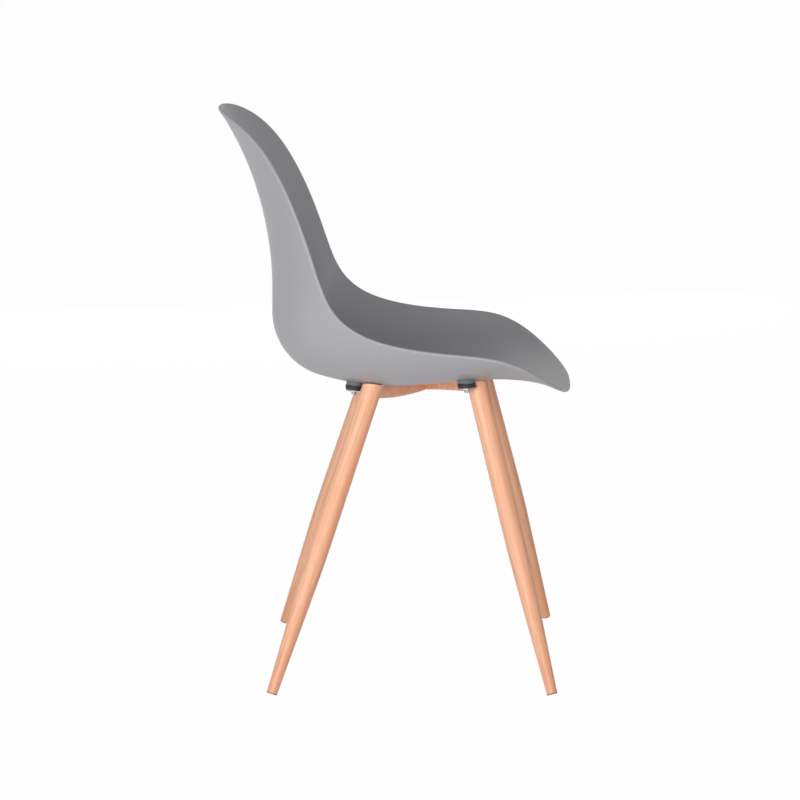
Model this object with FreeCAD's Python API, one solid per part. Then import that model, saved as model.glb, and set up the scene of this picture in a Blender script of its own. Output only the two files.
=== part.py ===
import FreeCAD, Part
import math
import os

# A moulded plastic shell chair on a steel frame with four splayed tapered legs.
# Millimetres. X across, Y front to back (the sitter faces -Y), Z up, floor at Z = 0.
# The origin is on the floor, under the middle of the chair.

vec = FreeCAD.Vector

# Seat shell: middle of its wall along the centre line, from the front tip to the top
front_tip_y = -255.9
front_tip_z = 421.1
front_slope = 24.6        # degrees, how steeply the front lip rises towards the seat
lip_radius = 260.0        # the lip rolls over the sitter's knees
lip_turn = 29.6
seat_line = 97.0          # flat stretch of the seat
seat_radius = 398.5       # the seat starts to dish
seat_turn = 20.8
corner_radius = 90.6      # seat turns up into the back
corner_turn = 75.4
back_line = 31.0
back_radius = 480.0       # the back leans away from the sitter
back_turn = 33.8

# Seat shell: its wall and its rim
wall = 5.5
# every 15 degrees round the rim from the front tip: half width, Y and Z of the rim,
# and how square the section across the shell is there
rim_stations = [
    (97.5, -250.2, 424.3, 2.1),
    (185.5, -208.6, 457.8, 3.3),
    (216.0, -142.2, 489.1, 4.2),
    (210.2, -60.5, 498.1, 4.4),
    (204.4, 20.7, 513.7, 4.2),
    (202.1, 70.2, 539.3, 3.5),
    (203.6, 99.9, 581.0, 2.8),
    (193.4, 125.1, 656.4, 2.5),
    (163.8, 162.1, 745.7, 2.1),
    (125.4, 204.4, 804.9, 1.8),
    (72.1, 241.7, 831.7, 1.8),
]
tip_squareness = 2.0

# Frame fixings: where each screw crosses the underside of its black spacer
front_fixing = (147.5, -104.4, 439.2)
rear_fixing = (107.5, 61.0, 431.0)
front_fixing_lean = -2.5  # degrees that the fixing leans back towards the sitter's feet
rear_fixing_lean = 6.0
boss_radius = 12.2
spacer_radius = 13.0
spacer_height = 6.2
spacer_hole_radius = 2.4
spacer_chamfer = 0.8
insert_radius = 3.4
insert_length = 7.5
insert_flange = 0.4
thread_clearance = 0.05
tab_thickness = 2.0
tab_radius = 12.4
tab_root_radius = 4.0
tab_hole_radius = 2.4
washer_radius = 7.0
washer_hole_radius = 2.2
washer_thickness = 1.0
washer_dish = 0.7
screw_radius = 1.95
screw_length = 16.0
screw_point = 0.7
head_radius = 3.5
head_height = 4.4
head_chamfer = 0.4
socket_across_flats = 3.0
socket_depth = 2.2

# Legs: centre of each lower end and a point of the axis close under the shell
front_foot = (247.6, -223.9, 3.6)
rear_foot = (230.3, 184.3, 3.6)
front_knee = (124.8, -121.0, 435.0)
rear_knee = (120.9, 34.4, 435.0)
tube_radius = 15.0
tube_end_radius = 7.8
tube_wall = 1.5
taper_length = 205.0      # the straight taper ends here, blended over a stretch each way
taper_blend = 40.0
leg_clearance = 1.3       # between a leg's sloping upper end and the shell
glide_thickness = 1.8
glide_plug_length = 14.0

# Cross blades: two upright plates that cross under the seat
blade_thickness = 4.0
blade_slot_gap = 0.1
# from the rear leg's axis to the front one's: share of the way, then the heights of the
# upper and lower edge over the line that joins the two fixings
blade_stations = [
    (0.00, 7.2, -13.6),
    (0.03, 4.5, -14.8),
    (0.06, 2.3, -16.1),
    (0.10, 0.1, -17.9),
    (0.15, -1.9, -20.0),
    (0.22, -3.4, -22.5),
    (0.34, -4.1, -24.8),
    (0.46, -3.7, -25.7),
    (0.50, -3.5, -25.2),
    (0.56, -3.1, -23.3),
    (0.68, -2.2, -19.8),
    (0.80, -0.9, -16.7),
    (0.90, 1.0, -14.5),
    (1.00, 4.2, -12.6),
]

corners = {
    "front_left": (1, front_fixing, front_fixing_lean, front_foot, front_knee),
    "front_right": (-1, front_fixing, front_fixing_lean, front_foot, front_knee),
    "rear_left": (1, rear_fixing, rear_fixing_lean, rear_foot, rear_knee),
    "rear_right": (-1, rear_fixing, rear_fixing_lean, rear_foot, rear_knee),
}

# Counts for the shell's surfaces: points round it, rings out from its middle, rim faces
columns = 48
rings = 14
rim_facets = 4

# Tools: how far a search line, an unfinished end and a cutting box run past the piece
search_run = 60.0
past_end = 20.0
boss_run = 30.0
trim_box = 90.0
slot_length = 120.0

spine_parts = [
    (lip_radius * math.radians(lip_turn), -1.0 / lip_radius),
    (seat_line, 0.0),
    (seat_radius * math.radians(seat_turn), 1.0 / seat_radius),
    (corner_radius * math.radians(corner_turn), 1.0 / corner_radius),
    (back_line, 0.0),
    (back_radius * math.radians(back_turn), -1.0 / back_radius),
]
spine_length = sum(length for length, bend in spine_parts)


def mirrored(point, side):
    return vec(side * point[0], point[1], point[2])


def spine(distance):
    """Y and Z of the shell's centre line at a distance from the front tip."""
    y, z, heading = front_tip_y, front_tip_z, math.radians(front_slope)
    left = distance
    for length, bend in spine_parts:
        step = min(left, length)
        middle = heading + bend * step / 2.0
        half = bend * step / 2.0
        chord = step * (math.sin(half) / half if abs(half) > 1e-9 else 1.0)
        y += chord * math.cos(middle)
        z += chord * math.sin(middle)
        heading += bend * step
        left -= step
        if left <= 0.0:
            break
    return y, z


def harmonics(values, odd):
    """Cosine or sine terms of the smooth curve through evenly spaced values."""
    count = len(values) - 1
    wave = math.sin if odd else math.cos
    terms = []
    for k in range(count + 1):
        total = 0.0
        for j, value in enumerate(values):
            ends = 0.5 if j in (0, count) else 1.0
            total += ends * value * wave(math.pi * k * j / count)
        terms.append(total * (1.0 if k in (0, count) and not odd else 2.0) / count)
    return terms


front_end = spine(0.0)
back_end = spine(spine_length)
stations = [(0.0, front_end[0], front_end[1], tip_squareness)]
stations += rim_stations
stations += [(0.0, back_end[0], back_end[1], tip_squareness)]
rim_terms = [harmonics([row[i] for row in stations], i == 0) for i in range(4)]


def rim(angle):
    """Half width, Y, Z and squareness of the rim, front tip at 0 and top at pi."""
    found = []
    for i, terms in enumerate(rim_terms):
        wave = math.sin if i == 0 else math.cos
        found.append(sum(term * wave(k * angle) for k, term in enumerate(terms)))
    return found


def middle_point(reach, turn):
    """A point of the wall's middle surface: reach 0 is its centre and 1 its rim."""
    along = reach * math.cos(turn)
    angle = math.acos(max(-1.0, min(1.0, along)))
    across = reach * math.sin(turn) / max(math.sin(angle), 1e-9)
    y, z = spine(spine_length * (1.0 - along) / 2.0)
    width, rim_y, rim_z, square = rim(angle)
    lift = abs(across) ** square
    return vec(width * across, y + (rim_y - y) * lift, z + (rim_z - z) * lift)


def middle_frame(reach, turn):
    """The same point with the wall's normal, towards the sitter, and the way out."""
    small = 1e-3
    point = middle_point(reach, turn)
    out = point - middle_point(reach - small, turn)
    round_it = middle_point(reach, turn + small) - middle_point(reach, turn - small)
    normal = out.cross(round_it).normalize()
    return point, normal, round_it.cross(normal).normalize()


def pulled(before, point, after):
    """A control point that makes the smooth surface pass through the given point."""
    return point - (before + after - point * 2.0) / 6.0


def sheet(rows, counts, degree):
    """A surface that closes on itself all the way round, over rows of points."""
    net = [
        [pulled(row[c - 1], row[c], row[(c + 1) % columns]) for row in rows]
        for c in range(columns)
    ]
    round_knots = [float(i) for i in range(columns + 1)]
    out_knots = [float(i) for i in range(len(counts))]
    surface = Part.BSplineSurface()
    surface.buildFromPolesMultsKnots(
        net, [1] * (columns + 1), counts, round_knots, out_knots, True, False, 3, degree
    )
    return surface.toShape()


def wall_side(side):
    """The wall's face on the sitter's side, 1, or the underside, -1."""
    turns = [2.0 * math.pi * column / columns for column in range(columns)]
    half = side * wall / 2.0
    y, z = spine(spine_length / 2.0)
    ahead = spine(spine_length / 2.0 + 0.5)
    up = vec(1, 0, 0).cross(vec(0, ahead[0] - y, ahead[1] - z)).normalize()
    rows = [[vec(0, y, z) + up * half] * columns]
    for ring in range(1, rings + 1):
        frames = [middle_frame(ring / rings, turn) for turn in turns]
        rows.append([point + normal * half for point, normal, out in frames])
    held = [rows[0]]
    for before, row, after in zip(rows, rows[1:], rows[2:]):
        held.append([pulled(before[c], row[c], after[c]) for c in range(columns)])
    held.append(rows[-1])
    return sheet(held, [4] + [1] * (len(held) - 4) + [4], 3)


def rim_strips():
    """Narrow faces that round the rim off, from the sitter's side to the underside."""
    turns = [2.0 * math.pi * column / columns for column in range(columns)]
    edge = [middle_frame(1.0, turn) for turn in turns]
    rows = []
    for strip in range(rim_facets + 1):
        bend = math.pi * strip / rim_facets
        rows.append([
            point + (normal * math.cos(bend) + out * math.sin(bend)) * (wall / 2.0)
            for point, normal, out in edge
        ])
    return [sheet([row, following], [2, 2], 1) for row, following in zip(rows, rows[1:])]


def up_axis(lean):
    return vec(0, -math.sin(math.radians(lean)), math.cos(math.radians(lean)))


def stand(shape, side, fixing, lean):
    """Puts a piece that was made round the Z axis onto its fixing."""
    turn = FreeCAD.Rotation(vec(0, 0, 1), up_axis(lean))
    shape.Placement = FreeCAD.Placement(mirrored(fixing, side), turn)
    return shape


def underside_spot(start, axis):
    """Where a line that runs upwards meets the underside, and the way up out of it there."""
    spot = underside.distToShape(Part.makeLine(start, start + axis * search_run))[1][0][0]
    normal = underside.normalAt(*underside.Surface.parameter(spot))
    return spot, normal if normal.z > 0.0 else normal * -1.0


def room_above(spot, normal):
    """A box that stands on the plane through a spot, to trim what rises past it."""
    box = Part.makeBox(trim_box, trim_box, trim_box, vec(-trim_box / 2, -trim_box / 2, 0))
    box.Placement = FreeCAD.Placement(spot, FreeCAD.Rotation(vec(0, 0, 1), normal))
    return box


def seat_shell():
    """The moulded shell, with four blind bosses underneath for the threaded inserts."""
    skin = Part.makeShell([wall_side(1), underside] + rim_strips())
    skin.sewShape()
    bosses, bores = [], []
    for side, fixing, lean, foot, knee in corners.values():
        axis = up_axis(lean)
        start = mirrored(fixing, side) + axis * spacer_height
        spot, normal = underside_spot(start, axis)
        above = room_above(spot + normal * (wall / 2.0), normal)
        bosses.append(Part.makeCylinder(boss_radius, boss_run, start, axis).cut(above))
        bores.append(Part.makeCylinder(insert_radius, insert_length, start, axis))
    return Part.Solid(skin).fuse(bosses).cut(bores)


def turned(points):
    """Solid of revolution about Z of a closed outline of radius and height."""
    outline = Part.makePolygon([vec(r, 0, z) for r, z in points + points[:1]])
    return Part.Face(outline).revolve(vec(0, 0, 0), vec(0, 0, 1), 360)


def threaded_insert():
    bore = screw_radius + thread_clearance
    return turned([
        (bore, spacer_height),
        (insert_radius, spacer_height),
        (insert_radius, spacer_height + insert_length - insert_flange),
        (insert_radius - insert_flange, spacer_height + insert_length),
        (bore, spacer_height + insert_length),
    ])


def spacer():
    return turned([
        (spacer_hole_radius, 0.0),
        (spacer_radius - spacer_chamfer, 0.0),
        (spacer_radius, spacer_chamfer),
        (spacer_radius, spacer_height - spacer_chamfer),
        (spacer_radius - spacer_chamfer, spacer_height),
        (spacer_hole_radius, spacer_height),
    ])


def washer():
    high = -tab_thickness
    low = high - washer_dish
    return turned([
        (washer_hole_radius, low),
        (washer_radius, high),
        (washer_radius, high - washer_thickness),
        (washer_hole_radius, low - washer_thickness),
    ])


def screw():
    seat = -tab_thickness - washer_dish - washer_thickness
    bottom = seat - head_height
    body = turned([
        (0.0, bottom),
        (head_radius - head_chamfer, bottom),
        (head_radius, bottom + head_chamfer),
        (head_radius, seat),
        (screw_radius, seat),
        (screw_radius, seat + screw_length - screw_point),
        (screw_radius - screw_point, seat + screw_length),
        (0.0, seat + screw_length),
    ])
    reach = socket_across_flats / math.sqrt(3.0)
    turns = [math.pi / 3.0 * i for i in range(7)]
    hexagon = [vec(reach * math.cos(t), reach * math.sin(t), bottom) for t in turns]
    return body.cut(Part.Face(Part.makePolygon(hexagon)).extrude(vec(0, 0, socket_depth)))


def leg_line(side, foot, knee):
    low = mirrored(foot, side)
    return low, (mirrored(knee, side) - low).normalize()


def leg_end(side, foot, knee):
    """Where a leg's axis meets the underside, and the way up out of the underside there."""
    low, along = leg_line(side, foot, knee)
    return underside_spot(mirrored(knee, side) - along * past_end, along)


def along_leg(shape, side, foot, knee):
    low, along = leg_line(side, foot, knee)
    shape.Placement = FreeCAD.Placement(low, FreeCAD.Rotation(vec(0, 0, 1), along))
    return shape


def tube_outline(length, inset):
    """Edges of half the tube's outline: a straight taper, an arc, then straight."""
    slope = (tube_radius - tube_end_radius) / taper_length
    low = vec(tube_end_radius - inset, 0, 0)
    start = vec(tube_radius - inset - slope * taper_blend, 0, taper_length - taper_blend)
    mid = vec(tube_radius - inset - slope * taper_blend / 4.0, 0, taper_length)
    high = vec(tube_radius - inset, 0, taper_length + taper_blend)
    end = vec(tube_radius - inset, 0, length)
    edges = [
        Part.LineSegment(low, start).toShape(),
        Part.Arc(start, mid, high).toShape(),
        Part.LineSegment(high, end).toShape(),
    ]
    return edges, low, end


def round_bar(length, inset):
    edges, low, end = tube_outline(length, inset)
    foot_axis, top_axis = vec(0, 0, 0), vec(0, 0, length)
    edges.append(Part.LineSegment(end, top_axis).toShape())
    edges.append(Part.LineSegment(top_axis, foot_axis).toShape())
    edges.append(Part.LineSegment(foot_axis, low).toShape())
    return Part.Face(Part.Wire(edges)).revolve(vec(0, 0, 0), vec(0, 0, 1), 360)


def leg_space(side, foot, knee, inset=0.0):
    """The room a leg takes, run on past its upper end, which no tab or blade may enter."""
    low = mirrored(foot, side)
    length = (leg_end(side, foot, knee)[0] - low).Length + past_end
    return along_leg(round_bar(length, inset), side, foot, knee)


def leg(side, foot, knee):
    """A tube whose upper end is cut parallel with the shell over it."""
    spot, normal = leg_end(side, foot, knee)
    tube = leg_space(side, foot, knee).cut(leg_space(side, foot, knee, tube_wall))
    return tube.cut(room_above(spot - normal * leg_clearance, normal))


def foot_glide(side, foot, knee):
    plug_radius = tube_end_radius - tube_wall
    flange = Part.makeCylinder(tube_end_radius, glide_thickness, vec(0, 0, -glide_thickness))
    plug = Part.makeCylinder(plug_radius, glide_plug_length)
    glide = along_leg(flange.fuse(plug).removeSplitter(), side, foot, knee)
    corner = mirrored(foot, side) - vec(trim_box / 2, trim_box / 2, trim_box + foot[2])
    return glide.cut(Part.makeBox(trim_box, trim_box, trim_box, corner))


def mounting_tab(side, fixing, lean, foot, knee):
    """A steel tab under the spacer, whose root is cut to the tube it is welded to."""
    centre = mirrored(fixing, side)
    low, along = leg_line(side, foot, knee)
    on_axis = low + along * ((fixing[2] - low.z) / along.z)
    away = vec(on_axis.x - centre.x, on_axis.y - centre.y, 0)
    turn = FreeCAD.Rotation(up_axis(lean), vec(0, 0, 1))
    flat = turn.multVec(away)
    reach = math.hypot(flat.x, flat.y)
    heading = vec(flat.x / reach, flat.y / reach, 0)
    spread = math.acos((tab_radius - tab_root_radius) / reach)
    outline = []
    for sign in (1, -1):
        spin = FreeCAD.Rotation(vec(0, 0, 1), math.degrees(sign * spread))
        edge = spin.multVec(heading)
        outline.append((edge * tab_radius, heading * reach + edge * tab_root_radius))
    base = vec(0, 0, -tab_thickness)
    ring = [outline[0][0], outline[0][1], outline[1][1], outline[1][0], outline[0][0]]
    plate = Part.Face(Part.makePolygon([p + base for p in ring])).extrude(vec(0, 0, tab_thickness))
    plate = plate.fuse(Part.makeCylinder(tab_radius, tab_thickness, base))
    plate = plate.fuse(Part.makeCylinder(tab_root_radius, tab_thickness, heading * reach + base))
    hole = Part.makeCylinder(tab_hole_radius, past_end, vec(0, 0, -past_end / 2))
    plate = plate.removeSplitter().cut(hole)
    return stand(plate, side, fixing, lean).cut(leg_space(side, foot, knee))


def fixing_line(y):
    """Height of the line from the rear fixing to the front one."""
    rise = (front_fixing[2] - rear_fixing[2]) / (rear_fixing[1] - front_fixing[1])
    return rear_fixing[2] + rise * (rear_fixing[1] - y)


def cross_blade(side):
    """An upright plate from a rear leg to the front leg across, before it is slotted."""
    rear = mirrored(rear_knee, side)
    front = mirrored(front_knee, -side)
    span = vec(front.x - rear.x, front.y - rear.y, 0)
    across = vec(-span.y, span.x, 0).normalize() * blade_thickness

    def edge(column):
        points = []
        for station in blade_stations:
            place = rear + span * station[0]
            points.append(vec(place.x, place.y, fixing_line(place.y) + station[column]))
        curve = Part.BSplineCurve()
        curve.interpolate(points)
        return curve.toShape(), points

    upper, upper_points = edge(1)
    lower, lower_points = edge(2)
    ends = [
        Part.LineSegment(lower_points[i], upper_points[i]).toShape()
        for i in (0, -1)
    ]
    face = Part.Face(Part.Wire([lower, ends[1], upper, ends[0]]))
    face.translate(across * -0.5)
    plate = face.extrude(across)
    for one_side, foot, knee in ((side, rear_foot, rear_knee), (-side, front_foot, front_knee)):
        plate = plate.cut(leg_space(one_side, foot, knee))
    return plate, span


def slotted_blades():
    """The two blades, each with a slot half its height deep, so that they cross."""
    first, first_span = cross_blade(1)
    second, second_span = cross_blade(-1)
    share = rear_knee[0] / (rear_knee[0] + front_knee[0])
    centre_y = rear_knee[1] + (front_knee[1] - rear_knee[1]) * share
    nearest = min(blade_stations, key=lambda station: abs(station[0] - share))
    middle = fixing_line(centre_y) + (nearest[1] + nearest[2]) / 2.0
    cuts = []
    for span, low in ((second_span, middle), (first_span, middle - search_run)):
        width = blade_thickness + blade_slot_gap
        slot = Part.makeBox(slot_length, width, search_run)
        slot.translate(vec(-slot_length / 2.0, -width / 2.0, 0))
        slot.rotate(vec(0, 0, 0), vec(0, 0, 1), math.degrees(math.atan2(span.y, span.x)))
        slot.translate(vec(0, centre_y, low))
        cuts.append(slot)
    return first.cut(cuts[0]), second.cut(cuts[1])


def save(name, shape):
    solids = shape.Solids
    if len(solids) != 1 or not solids[0].isValid():
        raise ValueError(name + " is not one valid solid")
    solids[0].exportStep("parts/" + name + ".step")
    box = solids[0].BoundBox
    print(name, "volume %.0f" % solids[0].Volume, "x %.1f %.1f y %.1f %.1f z %.1f %.1f" % (
        box.XMin, box.XMax, box.YMin, box.YMax, box.ZMin, box.ZMax))


os.makedirs("parts", exist_ok=True)
underside = wall_side(-1)
save("seat_shell", seat_shell())
blade_one, blade_two = slotted_blades()
save("cross_blade_slotted_above", blade_one)
save("cross_blade_slotted_below", blade_two)
for corner, (side, fixing, lean, foot, knee) in corners.items():
    save("threaded_insert_" + corner, stand(threaded_insert(), side, fixing, lean))
    save("spacer_" + corner, stand(spacer(), side, fixing, lean))
    save("mounting_tab_" + corner, mounting_tab(side, fixing, lean, foot, knee))
    save("washer_" + corner, stand(washer(), side, fixing, lean))
    save("screw_" + corner, stand(screw(), side, fixing, lean))
    save("leg_" + corner, leg(side, foot, knee))
    save("foot_glide_" + corner, foot_glide(side, foot, knee))
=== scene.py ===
import bpy
import math
from mathutils import Matrix, Vector


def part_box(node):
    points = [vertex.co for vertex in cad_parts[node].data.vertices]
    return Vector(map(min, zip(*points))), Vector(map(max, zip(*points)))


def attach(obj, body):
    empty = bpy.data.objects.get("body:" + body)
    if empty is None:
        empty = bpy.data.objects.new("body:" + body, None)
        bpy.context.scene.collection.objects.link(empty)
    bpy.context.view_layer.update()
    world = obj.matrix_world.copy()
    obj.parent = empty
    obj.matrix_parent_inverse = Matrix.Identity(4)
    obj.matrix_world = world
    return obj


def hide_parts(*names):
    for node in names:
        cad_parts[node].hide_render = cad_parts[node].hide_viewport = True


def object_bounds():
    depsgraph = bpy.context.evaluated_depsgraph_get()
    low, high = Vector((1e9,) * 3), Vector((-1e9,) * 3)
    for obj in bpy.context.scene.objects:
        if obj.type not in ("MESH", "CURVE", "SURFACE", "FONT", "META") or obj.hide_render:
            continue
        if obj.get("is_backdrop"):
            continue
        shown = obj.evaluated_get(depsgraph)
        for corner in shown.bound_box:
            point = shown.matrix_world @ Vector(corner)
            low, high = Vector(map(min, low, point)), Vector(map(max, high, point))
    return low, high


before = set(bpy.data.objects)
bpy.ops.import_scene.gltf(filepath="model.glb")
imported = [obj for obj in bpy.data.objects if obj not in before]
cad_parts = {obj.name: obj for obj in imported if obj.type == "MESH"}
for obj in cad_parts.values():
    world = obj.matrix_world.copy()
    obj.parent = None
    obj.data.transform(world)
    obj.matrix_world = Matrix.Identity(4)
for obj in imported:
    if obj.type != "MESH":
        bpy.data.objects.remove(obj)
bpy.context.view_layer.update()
print("frame loaded:", len(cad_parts), "pieces")

# A moulded plastic shell chair on four wood-look steel legs.
# Metres, Z up, and the sitter faces -Y.


class Wire:  # an output socket; maths on it adds nodes
    def __init__(self, finish, socket):
        self.finish = finish
        self.socket = socket

    def combine(self, operation, first, second):
        sockets = [x.socket for x in (first, second) if isinstance(x, Wire)]
        if any(socket.type == "VECTOR" for socket in sockets):
            kind = "ShaderNodeVectorMath"
        else:
            kind = "ShaderNodeMath"
        return self.finish.node(kind, {"operation": operation}, {0: first, 1: second})

    def __add__(self, other):
        return self.combine("ADD", self, other)

    def __radd__(self, other):
        return self.combine("ADD", other, self)

    def __sub__(self, other):
        return self.combine("SUBTRACT", self, other)

    def __rsub__(self, other):
        return self.combine("SUBTRACT", other, self)

    def __mul__(self, other):
        return self.combine("MULTIPLY", self, other)

    def __rmul__(self, other):
        return self.combine("MULTIPLY", other, self)

    def dot(self, other):
        settings = {"operation": "DOT_PRODUCT"}
        return self.finish.node("ShaderNodeVectorMath", settings, {0: self, 1: other}, "Value")

    def ramp(self, low, high):  # 0 below low, 1 above high, smooth between
        settings = {"interpolation_type": "SMOOTHSTEP"}
        limits = {"Value": self, "From Min": low, "From Max": high}
        return self.finish.node("ShaderNodeMapRange", settings, limits)


class Finish:  # one material and its node tree
    def __init__(self, name, **constants):
        self.material = bpy.data.materials.new(name)
        self.material.use_nodes = True
        self.tree = self.material.node_tree
        self.shader = self.tree.nodes["Principled BSDF"]
        for socketName, value in constants.items():
            self.set(socketName.replace("_", " "), value)

    def node(self, kind, settings=None, inputs=None, output=0):
        made = self.tree.nodes.new(kind)
        for key, value in (settings or {}).items():
            setattr(made, key, value)
        for key, value in (inputs or {}).items():
            self.feed(made.inputs[key], value)
        return Wire(self, made.outputs[output])

    def feed(self, socket, value):
        if isinstance(value, Wire):
            self.tree.links.new(value.socket, socket)
        else:
            socket.default_value = value

    def set(self, socketName, value):
        self.feed(self.shader.inputs[socketName], value)

    def place(self):  # position on the chair, in metres
        return self.node("ShaderNodeTexCoord", output="Object")

    def noise(self, vector, scale, detail=2.0, roughness=0.5):
        inputs = {"Vector": vector, "Scale": scale, "Detail": detail, "Roughness": roughness}
        return self.node("ShaderNodeTexNoise", None, inputs)

    def blend(self, share, first, second):  # 6 and 7 are Mix's two colours, 2 its result
        inputs = {"Factor": share, 6: first, 7: second}
        return self.node("ShaderNodeMix", {"data_type": "RGBA"}, inputs, 2)

    def roughen(self, least, swing, share):  # rises by the swing where the share is 1
        self.set("Roughness", least + share * swing)

    def bump(self, height, strength, distance):
        inputs = {"Height": height, "Strength": strength, "Distance": distance}
        self.set("Normal", self.node("ShaderNodeBump", None, inputs, "Normal"))


def paint(node, finish):  # gives a piece its only material
    node.data.materials.clear()
    node.data.materials.append(finish.material)


def shaded(tone, share):  # a colour made darker or lighter
    return tuple(min(1.0, level * share) for level in tone[:3]) + (1.0,)


def colour(red, green, blue):  # 0 to 255 as seen on a screen, to the light value
    def light(level):
        share = level / 255.0
        return share / 12.92 if share <= 0.04045 else ((share + 0.055) / 1.055) ** 2.4
    return (light(red), light(green), light(blue), 1.0)


shell = {
    "frontTip": (-0.2559, 0.4211),  # Y and Z of the wall's middle on the centre line
    "frontSlope": 24.6,
    "lipRadius": 0.260,
    "lipTurn": 29.6,
    "seatLine": 0.097,
    "seatRadius": 0.3985,
    "seatTurn": 20.8,
    "cornerRadius": 0.0906,
    "cornerTurn": 75.4,
    "backLine": 0.031,
    "backRadius": 0.480,
    "backTurn": 33.8,
    "wall": 0.0055,
    "tipSquareness": 2.0,
    # every 15 degrees round the rim: half width, Y, Z and squareness of the section there
    "rim": [
        (0.0975, -0.2502, 0.4243, 2.1),
        (0.1855, -0.2086, 0.4578, 3.3),
        (0.2160, -0.1422, 0.4891, 4.2),
        (0.2102, -0.0605, 0.4981, 4.4),
        (0.2044, 0.0207, 0.5137, 4.2),
        (0.2021, 0.0702, 0.5393, 3.5),
        (0.2036, 0.0999, 0.5810, 2.8),
        (0.1934, 0.1251, 0.6564, 2.5),
        (0.1638, 0.1621, 0.7457, 2.1),
        (0.1254, 0.2044, 0.8049, 1.8),
        (0.0721, 0.2417, 0.8317, 1.8),
    ],
    "columns": 240,
    "rings": 60,
    "rimSteps": 8,
    "middleReach": 1e-3,  # where the surface is read for the point at its centre
    "middleTurn": 0.5,
    "colour": colour(174, 174, 179),
    "cloud": (9.0, 3.0),  # scale and detail of the soft patches of a deeper grey
    "cloudShade": 0.95,
    "roughness": (0.36, 0.08),  # the least, and how far it rises
    "grain": (2600.0, 2.0),
    "bump": (0.35, 0.00006),  # strength and depth in metres
    "ior": 1.42,
}

spineParts = [
    (shell["lipRadius"] * math.radians(shell["lipTurn"]), -1.0 / shell["lipRadius"]),
    (shell["seatLine"], 0.0),
    (shell["seatRadius"] * math.radians(shell["seatTurn"]), 1.0 / shell["seatRadius"]),
    (shell["cornerRadius"] * math.radians(shell["cornerTurn"]), 1.0 / shell["cornerRadius"]),
    (shell["backLine"], 0.0),
    (shell["backRadius"] * math.radians(shell["backTurn"]), -1.0 / shell["backRadius"]),
]
spineLength = sum(length for length, bend in spineParts)


def spine(distance):  # Y and Z of the centre line, from the front tip up to the top
    y, z = shell["frontTip"]
    heading = math.radians(shell["frontSlope"])
    left = distance
    for length, bend in spineParts:
        step = min(left, length)
        half = bend * step / 2.0
        chord = step * (math.sin(half) / half if abs(half) > 1e-9 else 1.0)
        y += chord * math.cos(heading + half)
        z += chord * math.sin(heading + half)
        heading += bend * step
        left -= step
        if left <= 0.0:
            break
    return y, z


def harmonics(values, odd):  # the smooth curve through evenly spaced values, as waves
    count = len(values) - 1
    wave = math.sin if odd else math.cos
    terms = []
    for k in range(count + 1):
        total = 0.0
        for j, value in enumerate(values):
            total += (0.5 if j in (0, count) else 1.0) * value * wave(math.pi * k * j / count)
        terms.append(total * (1.0 if k in (0, count) and not odd else 2.0) / count)
    return terms


rimStations = [(0.0, *spine(0.0), shell["tipSquareness"])]
rimStations += shell["rim"]
rimStations += [(0.0, *spine(spineLength), shell["tipSquareness"])]
rimTerms = [harmonics([row[i] for row in rimStations], i == 0) for i in range(4)]


def rimAt(angle):
    found = []
    for i, terms in enumerate(rimTerms):
        wave = math.sin if i == 0 else math.cos
        found.append(sum(term * wave(k * angle) for k, term in enumerate(terms)))
    return found


def middlePoint(reach, turn):  # on the wall's middle surface; reach 1 is the rim
    along = reach * math.cos(turn)
    angle = math.acos(max(-1.0, min(1.0, along)))
    across = reach * math.sin(turn) / max(math.sin(angle), 1e-9)
    y, z = spine(spineLength * (1.0 - along) / 2.0)
    width, rimY, rimZ, square = rimAt(angle)
    lift = abs(across) ** square
    return Vector((width * across, y + (rimY - y) * lift, z + (rimZ - z) * lift))


def middleFrame(reach, turn):  # the point, the way to the sitter and the way out to the rim
    small = 1e-3
    point = middlePoint(reach, turn)
    out = point - middlePoint(reach - small, turn)
    roundIt = middlePoint(reach, turn + small) - middlePoint(reach, turn - small)
    normal = out.cross(roundIt).normalized()
    return point, normal, roundIt.cross(normal).normalized()


def makeMesh(name, points, faces, finish):
    mesh = bpy.data.meshes.new(name)
    mesh.from_pydata([tuple(p) for p in points], [], faces)
    mesh.validate()
    mesh.polygons.foreach_set("use_smooth", [True] * len(mesh.polygons))
    mesh.materials.append(finish.material)
    piece = bpy.data.objects.new(name, mesh)
    bpy.context.scene.collection.objects.link(piece)
    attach(piece, "root")
    return piece


def bridge(rowStart, nextStart, count):  # quads between two closed rings of points
    return [
        (rowStart + c, rowStart + (c + 1) % count, nextStart + (c + 1) % count, nextStart + c)
        for c in range(count)
    ]


def shellFinish():
    made = Finish("shellPlastic", IOR=shell["ior"])
    place = made.place()
    cloud = made.noise(place, *shell["cloud"])
    deep = shaded(shell["colour"], shell["cloudShade"])
    made.set("Base Color", made.blend(cloud, deep, shell["colour"]))
    made.roughen(*shell["roughness"], cloud)
    grain = made.noise(place, *shell["grain"])
    made.bump(grain, *shell["bump"])
    return made


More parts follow.
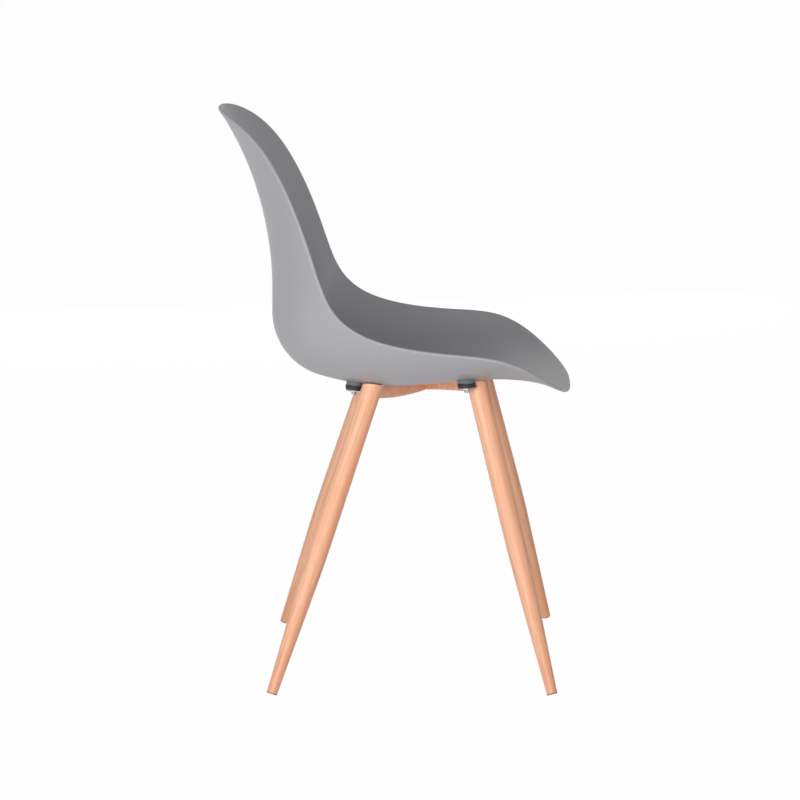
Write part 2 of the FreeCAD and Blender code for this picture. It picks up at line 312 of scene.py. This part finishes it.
def seatShell(finish):
    columns = shell["columns"]
    rings = shell["rings"]
    half = shell["wall"] / 2.0
    turns = [2.0 * math.pi * (c + 0.5) / columns for c in range(columns)]
    rows = [[middleFrame(ring / rings, turn) for turn in turns] for ring in range(1, rings + 1)]
    points, faces, starts = [], [], []

    def addRow(row):
        starts.append(len(points))
        points.extend(row)

    for row in rows:
        addRow([point + normal * half for point, normal, out in row])
    for step in range(1, shell["rimSteps"]):
        bend = math.pi * step / shell["rimSteps"]
        addRow([
            point + (normal * math.cos(bend) + out * math.sin(bend)) * half
            for point, normal, out in rows[-1]
        ])
    for row in rows[::-1]:
        addRow([point - normal * half for point, normal, out in row])
    for start, following in zip(starts, starts[1:]):
        faces += bridge(start, following, columns)
    middle, normal, out = middleFrame(shell["middleReach"], shell["middleTurn"])
    top, low = len(points), len(points) + 1
    points += [middle + normal * half, middle - normal * half]
    last = starts[-1]
    faces += [(top, (c + 1) % columns, c) for c in range(columns)]
    faces += [(low, last + c, last + (c + 1) % columns) for c in range(columns)]
    faces = [face[::-1] for face in faces]
    piece = makeMesh("moulded_shell", points, faces, finish)
    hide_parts("seat_shell")
    return piece


shellPiece = seatShell(shellFinish())
print("seat shell:", len(shellPiece.data.polygons), "faces")

# Bosses under the shell that the screws hold, in a darker grey that paints the shade under the
# shell
boss = {
    "front": ((0.1475, -0.1044, 0.4392), -2.5),  # under the spacer, and its lean
    "rear": ((0.1075, 0.0610, 0.4310), 6.0),
    "spacerHeight": 0.0062,
    "radius": 0.0122,
    "rootRadius": 0.0138,  # the fillet where the boss meets the wall
    "rootHeight": 0.0018,
    "waistReach": 0.0005,  # the fillet's hollow, out from the boss
    "waistShare": 0.4,
    "boreRadius": 0.0034,
    "boreDepth": 0.0036,
    "chamfer": 0.0005,
    "sides": 72,
    "bury": 0.0012,  # how far the fillet's end goes into the wall, and how far in it steps
    "buryStep": 0.0010,
    # darker than the shell plastic they are moulded with: painted shade under the shell's
    # overhang
    "colour": colour(104, 106, 110),
    "fine": (240.0, 3.0),
    "fineShade": 0.86,
    "roughness": (0.50, 0.10),
    "bump": (0.2, 0.00005),
    "ior": 1.49,
}


def bossFinish():
    made = Finish("bossPlasticPaintedShade", IOR=boss["ior"])
    fine = made.noise(made.place(), *boss["fine"])
    deep = shaded(boss["colour"], boss["fineShade"])
    made.set("Base Color", made.blend(fine, deep, boss["colour"]))
    made.roughen(*boss["roughness"], fine)
    made.bump(fine, *boss["bump"])
    return made


def screwBosses(finish):
    points, faces = [], []
    radius, root, chamfer = boss["radius"], boss["rootHeight"], boss["chamfer"]
    profile = [  # radius, height, and whether the height is counted down from the wall
        (boss["boreRadius"], boss["boreDepth"], False),
        (boss["boreRadius"], 0.0, False),
        (radius - chamfer, 0.0, False),
        (radius, chamfer, False),
        (radius, root, True),
        (radius + boss["waistReach"], root * boss["waistShare"], True),
        (boss["rootRadius"], 0.0, True),
        (boss["rootRadius"] - boss["buryStep"], -boss["bury"], True),
    ]
    for end in ("front", "rear"):
        place, lean = boss[end]
        axis = Vector((0.0, -math.sin(math.radians(lean)), math.cos(math.radians(lean))))
        ahead = Vector((1.0, 0.0, 0.0)).cross(axis)
        for side in (1.0, -1.0):
            base = Vector((place[0] * side, place[1], place[2])) + axis * boss["spacerHeight"]
            starts = []
            for reach, height, fromWall in profile:
                starts.append(len(points))
                for i in range(boss["sides"]):
                    turn = 2.0 * math.pi * i / boss["sides"]
                    spoke = (Vector((math.cos(turn), 0.0, 0.0)) + ahead * math.sin(turn)) * reach
                    level = height
                    if fromWall:
                        hit, spot, normal, face = shellPiece.ray_cast(base + spoke, axis)
                        level = (spot - base).dot(axis) - height
                    points.append(base + spoke + axis * level)
            for start, following in zip(starts, starts[1:]):
                faces += [face[::-1] for face in bridge(start, following, boss["sides"])]
    piece = makeMesh("screw_bosses", points, faces, finish)
    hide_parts("seat_shell")
    return piece


bossPiece = screwBosses(bossFinish())
print("screw bosses:", len(bossPiece.data.polygons), "faces")

# Wood print on the legs and the crossed plates
wood = {
    "light": colour(251, 191, 155),
    "middle": colour(240, 172, 133),
    "streak": colour(200, 126, 86),
    "legLift": 1.0,  # how far the colours are lightened
    # above 1 for the crossed plates: painted light on plates that sit in shade under the shell
    "bladePaintedLight": 1.04,
    # scale across and along the piece, and detail
    "wander": (20.0, 5.0, 1.0),
    "band": (90.0, 2.2, 3.0),
    "grain": (420.0, 7.0, 4.0),
    "fibre": (1500.0, 30.0, 2.0),
    "wanderReach": 1.5,
    "bandEdges": (0.35, 0.65),
    "grainEdges": (0.52, 0.72),
    "grainRoughness": 0.62,
    "streakShare": 0.75,
    "roughness": (0.38, 0.10),
    "bump": (0.25, 0.00008),
    "ior": 1.33,
    "coat": 0.3,
    "coatRoughness": 0.2,
    "steep": 0.9,  # a piece whose axis rises more than this counts as upright
    "topBand": 0.012,  # the stretch at a leg's upper end that tells its axis
}


def woodPrint(name, origin, axis, lift):
    made = Finish(name, IOR=wood["ior"])
    made.set("Coat Weight", wood["coat"])
    made.set("Coat Roughness", wood["coatRoughness"])
    light, middle, streak = (shaded(wood[tone], lift) for tone in ("light", "middle", "streak"))
    axis = axis.normalized()
    level, upright = Vector((1.0, 0.0, 0.0)), Vector((0.0, 0.0, 1.0))
    first = axis.cross(upright if abs(axis.z) < wood["steep"] else level).normalized()
    second = axis.cross(first)
    away = made.place() - tuple(origin)
    across = away.dot(tuple(first))
    around = away.dot(tuple(second))
    along = away.dot(tuple(axis))

    def figure(kind, roughness=0.5, shift=None):
        wide, long, detail = wood[kind]
        parts = {"X": across * wide, "Y": around * wide, "Z": along * long}
        spot = made.node("ShaderNodeCombineXYZ", None, parts)
        if shift:
            spot = spot + shift * wood["wanderReach"]
        return made.noise(spot, 1.0, detail, roughness)

    wander = figure("wander")
    band = figure("band", shift=wander)
    grain = figure("grain", wood["grainRoughness"])
    fibre = figure("fibre")
    body = made.blend(band.ramp(*wood["bandEdges"]), light, middle)
    lines = grain.ramp(*wood["grainEdges"]) * wood["streakShare"]
    made.set("Base Color", made.blend(lines, body, streak))
    made.roughen(*wood["roughness"], fibre)
    made.bump(grain * 0.5 + fibre * 0.5, *wood["bump"])
    return made


def legAxis(corner):  # from the centre of the foot up the tube
    low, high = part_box("foot_glide_" + corner)
    foot = (low + high) / 2.0
    spots = [v.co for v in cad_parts["leg_" + corner].data.vertices]
    height = max(s.z for s in spots)
    upper = [s for s in spots if s.z > height - wood["topBand"]]
    return foot, sum(upper, Vector()) / len(upper) - foot


for corner in ("front_left", "front_right", "rear_left", "rear_right"):
    foot, direction = legAxis(corner)
    finish = woodPrint("woodPrint_" + corner, foot, direction, wood["legLift"])
    paint(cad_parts["leg_" + corner], finish)
# the crossed plates get the same print made lighter, which paints light onto them in the shell's
# shade
for blade, turn in (("cross_blade_slotted_above", 1.0), ("cross_blade_slotted_below", -1.0)):
    low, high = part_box(blade)
    direction = Vector((high.x - low.x, -turn * (high.y - low.y), 0.0))
    finish = woodPrint("woodPrint_" + blade, (low + high) / 2.0, direction, wood["bladePaintedLight"])
    paint(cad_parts[blade], finish)
print("legs and crossed plates painted")

# Tabs, washers and screws
zinc = {
    "light": colour(158, 158, 156),
    "dark": colour(108, 108, 107),
    "cloud": (160.0, 3.0),
    "cloudEdges": (0.4, 0.62),
    "fine": (1800.0, 2.0),
    "roughness": (0.26, 0.16),
    "bump": (0.2, 0.00003),
}


def zincFinish():
    made = Finish("zincPlate", Metallic=1.0)
    place = made.place()
    cloud = made.noise(place, *zinc["cloud"])
    fine = made.noise(place, *zinc["fine"])
    patches = cloud.ramp(*zinc["cloudEdges"])
    made.set("Base Color", made.blend(patches, zinc["light"], zinc["dark"]))
    made.roughen(*zinc["roughness"], fine)
    made.bump(fine, *zinc["bump"])
    return made


# Spacers
rubber = {
    "colour": colour(26, 26, 28),
    "fine": (900.0, 3.0),
    "fineEdges": (0.45, 0.7),
    "fineShade": 1.6,
    "roughness": (0.55, 0.15),
    "bump": (0.3, 0.00005),
}


def rubberFinish():
    made = Finish("spacerRubber")
    fine = made.noise(made.place(), *rubber["fine"])
    lighter = shaded(rubber["colour"], rubber["fineShade"])
    specks = fine.ramp(*rubber["fineEdges"])
    made.set("Base Color", made.blend(specks, rubber["colour"], lighter))
    made.roughen(*rubber["roughness"], fine)
    made.bump(fine, *rubber["bump"])
    return made


# Threaded inserts
brass = {
    "colour": colour(196, 160, 92),
    "fine": (700.0, 2.0),
    "fineShade": 0.7,
    "roughness": 0.35,
}


def brassFinish():
    made = Finish("insertBrass", Metallic=1.0, Roughness=brass["roughness"])
    fine = made.noise(made.place(), *brass["fine"])
    darker = shaded(brass["colour"], brass["fineShade"])
    made.set("Base Color", made.blend(fine, brass["colour"], darker))
    return made


# Foot glides
glide = {
    "colour": colour(176, 118, 84),
    "fine": (600.0, 3.0),
    "fineShade": 0.8,
    "roughness": (0.45, 0.12),
}


def glideFinish():
    made = Finish("glidePlastic")
    fine = made.noise(made.place(), *glide["fine"])
    darker = shaded(glide["colour"], glide["fineShade"])
    made.set("Base Color", made.blend(fine, glide["colour"], darker))
    made.roughen(*glide["roughness"], fine)
    return made


fittings = {
    "mounting_tab_": zincFinish(),
    "spacer_": rubberFinish(),
    "threaded_insert_": brassFinish(),
    "foot_glide_": glideFinish(),
}
fittings["washer_"] = fittings["mounting_tab_"]
fittings["screw_"] = fittings["mounting_tab_"]
for name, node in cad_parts.items():
    for start, finish in fittings.items():
        if name.startswith(start):
            paint(node, finish)
print("fittings painted")

# Floor, light and camera
studio = {
    "floorHalf": 60.0,
    "floorColour": (0.9, 0.9, 0.9, 1.0),
    "floorRoughness": 0.9,
    "floorWhite": 0.985,  # share of plain white in the floor as the camera sees it
    "white": (1.0, 1.0, 1.0, 1.0),
    "whiteLevel": 1.0,
    "roomLevel": 0.06,  # what the room adds from all round
    "aim": (0.0, 0.0, 0.45),
    # place, width, height and power
    "keyLight": ((-3.3, 1.7, 0.90), 2.2, 2.0, 64.0),
    "sideLight": ((-3.6, -0.3, 0.90), 2.2, 2.0, 50.0),
    "rearStrip": ((-1.2, 3.3, 1.00), 0.16, 2.0, 9.0),
    "frontStrip": ((-1.1, -3.3, 1.10), 0.16, 2.0, 14.0),
    "farLight": ((3.5, 0.4, 0.32), 2.2, 0.5, 42.0),
}


def seenDirectly(tree):  # 1 for camera, mirror and see-through rays
    path = tree.nodes.new("ShaderNodeLightPath")
    total = path.outputs["Is Camera Ray"]
    for name in ("Is Glossy Ray", "Is Transmission Ray"):
        add = tree.nodes.new("ShaderNodeMath")
        add.operation = "MAXIMUM"
        tree.links.new(total, add.inputs[0])
        tree.links.new(path.outputs[name], add.inputs[1])
        total = add.outputs[0]
    return total


def makeFloor():
    made = Finish("paleFloor", Roughness=studio["floorRoughness"])
    made.set("Base Color", studio["floorColour"])
    made.set("Specular IOR Level", 0.0)
    tree = made.tree
    share = tree.nodes.new("ShaderNodeMath")
    share.operation = "MULTIPLY"
    share.inputs[1].default_value = studio["floorWhite"]
    tree.links.new(seenDirectly(tree), share.inputs[0])
    white = tree.nodes.new("ShaderNodeEmission")
    mix = tree.nodes.new("ShaderNodeMixShader")
    tree.links.new(share.outputs[0], mix.inputs["Fac"])
    tree.links.new(made.shader.outputs[0], mix.inputs[1])
    tree.links.new(white.outputs[0], mix.inputs[2])
    tree.links.new(mix.outputs[0], tree.nodes["Material Output"].inputs["Surface"])
    half = studio["floorHalf"]
    corners = [(-half, -half, 0), (half, -half, 0), (half, half, 0), (-half, half, 0)]
    mesh = bpy.data.meshes.new("floor")
    mesh.from_pydata(corners, [], [(0, 1, 2, 3)])
    mesh.materials.append(made.material)
    floor = bpy.data.objects.new("floor", mesh)
    bpy.context.scene.collection.objects.link(floor)
    floor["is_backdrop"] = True


def makeWorld():
    world = bpy.data.worlds.new("studio")
    bpy.context.scene.world = world
    world.use_nodes = True
    tree = world.node_tree
    tree.nodes.clear()
    backgrounds = []
    for level in (studio["roomLevel"], studio["whiteLevel"]):
        made = tree.nodes.new("ShaderNodeBackground")
        made.inputs["Strength"].default_value = level
        made.inputs["Color"].default_value = studio["white"]
        backgrounds.append(made)
    mix = tree.nodes.new("ShaderNodeMixShader")
    end = tree.nodes.new("ShaderNodeOutputWorld")
    tree.links.new(seenDirectly(tree), mix.inputs["Fac"])
    for i, made in enumerate(backgrounds):
        tree.links.new(made.outputs[0], mix.inputs[1 + i])
    tree.links.new(mix.outputs[0], end.inputs["Surface"])


def makeLamp(name):
    place, width, height, power = studio[name]
    lamp = bpy.data.lights.new(name, "AREA")
    lamp.shape = "RECTANGLE"
    lamp.size = width
    lamp.size_y = height
    lamp.energy = power
    holder = bpy.data.objects.new(name, lamp)
    holder.location = place
    aim = Vector(studio["aim"]) - Vector(place)
    holder.rotation_mode = "QUATERNION"
    holder.rotation_quaternion = aim.to_track_quat("-Z", "Y")
    holder.visible_glossy = name != "farLight"  # it lights the far side without a glare
    bpy.context.scene.collection.objects.link(holder)


view = {
    "place": (-6.0097, -0.1096, 1.4760),
    "pitch": 10.2,
    "yaw": 1.004,
    "roll": -0.768,
    "lens": 183.49,
    "sensor": 36.0,
    "clipEnd": 200.0,
}


def makeCamera():
    pitch = math.radians(view["pitch"])
    yaw = math.radians(view["yaw"])
    roll = math.radians(view["roll"])
    flat = math.cos(pitch)
    ahead = Vector((flat * math.cos(yaw), flat * math.sin(yaw), -math.sin(pitch)))
    level = ahead.cross(Vector((0.0, 0.0, 1.0))).normalized()
    upright = level.cross(ahead)
    right = level * math.cos(roll) + upright * math.sin(roll)
    up = upright * math.cos(roll) - level * math.sin(roll)
    lens = bpy.data.cameras.new("camera")
    lens.lens = view["lens"]
    lens.sensor_width = view["sensor"]
    lens.clip_end = view["clipEnd"]
    camera = bpy.data.objects.new("camera", lens)
    turn = Matrix((right, up, -ahead)).transposed().to_4x4()
    camera.matrix_world = Matrix.Translation(view["place"]) @ turn
    bpy.context.scene.collection.objects.link(camera)
    bpy.context.scene.camera = camera


makeFloor()
makeWorld()
for lampName in ("keyLight", "sideLight", "rearStrip", "frontStrip", "farLight"):
    makeLamp(lampName)
makeCamera()
bpy.context.scene.view_settings.view_transform = "Standard"
print("studio ready")

low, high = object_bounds()
